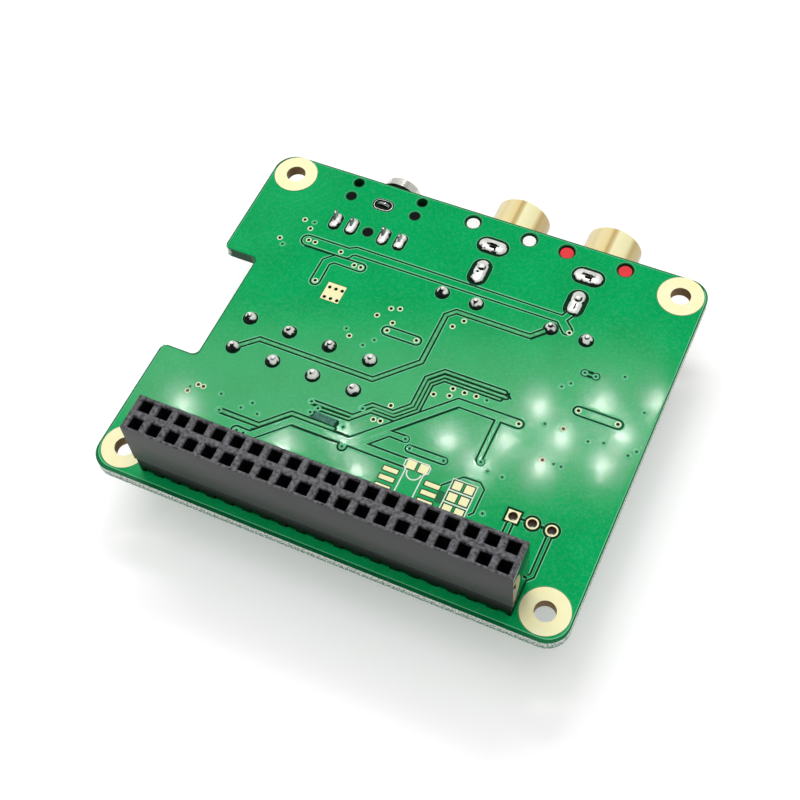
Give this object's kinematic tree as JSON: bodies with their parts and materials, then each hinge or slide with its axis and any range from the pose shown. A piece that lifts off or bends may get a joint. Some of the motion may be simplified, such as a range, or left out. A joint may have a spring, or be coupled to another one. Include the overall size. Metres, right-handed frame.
{
  "type": "audio dac board",
  "caption": "Green audio converter board for a small computer, lying solder side up, with a tall stacking socket, gold phono jacks and a headphone jack at the far edge.",
  "frame": {"origin": "centre of the rectangle of mounting holes, on the solder side of the board", "axes": "+X along the stacking socket, +Y from the socket to the edge with the jacks, +Z out of the solder side, up as it lies"},
  "size_m": [0.065, 0.0632, 0.0233],
  "materials": {
    "solder_mask": "glossy green solder mask over laminate",
    "gold": "bright gold plating",
    "black_plastic": "moulded black plastic, satin",
    "contact_metal": "plated spring metal",
    "white_plastic": "moulded white plastic",
    "red_plastic": "moulded red plastic",
    "insulator_plastic": "moulded pale plastic",
    "tin": "bright solder and tinned metal",
    "bright_metal": "nickel plated",
    "film_case": "moulded box",
    "chip_plastic": "moulded chip body",
    "ceramic_tan": "fired ceramic",
    "resistor_black": "glazed black"
  },
  "bodies": {
    "root": {"circuit_board": "solder_mask", "mounting_rings": "gold", "heat_pad": "gold", "bare_lands": "gold", "spare_pin_rings": "gold", "socket_housing": "black_plastic", "socket_spacer": "black_plastic", "socket_contacts": "contact_metal", "phono_body_left": "white_plastic", "phono_body_right": "red_plastic", "phono_shell_left": "gold", "phono_shell_right": "gold", "phono_insulator_left": "insulator_plastic", "phono_insulator_right": "insulator_plastic", "phono_contact_left": "gold", "phono_contact_right": "gold", "phono_ground_left": "tin", "phono_ground_right": "tin", "jack_body": "black_plastic", "jack_ferrule": "bright_metal", "jack_contacts": "tin", "film_capacitor_1": "film_case", "film_capacitor_2": "film_case", "film_capacitor_3": "film_case", "film_capacitor_4": "film_case", "output_capacitor_left": "film_case", "output_capacitor_right": "film_case", "capacitor_leads": "tin", "capacitor_solder": "tin", "phono_solder": "tin", "jack_solder": "tin", "converter_chip": "chip_plastic", "converter_leads": "tin", "amplifier_chip": "chip_plastic", "amplifier_pads": "tin", "regulator_1": "chip_plastic", "regulator_2": "chip_plastic", "regulator_leads": "tin", "chip_capacitors": "ceramic_tan", "chip_resistors": "resistor_black"}
  },
  "joints": []
}
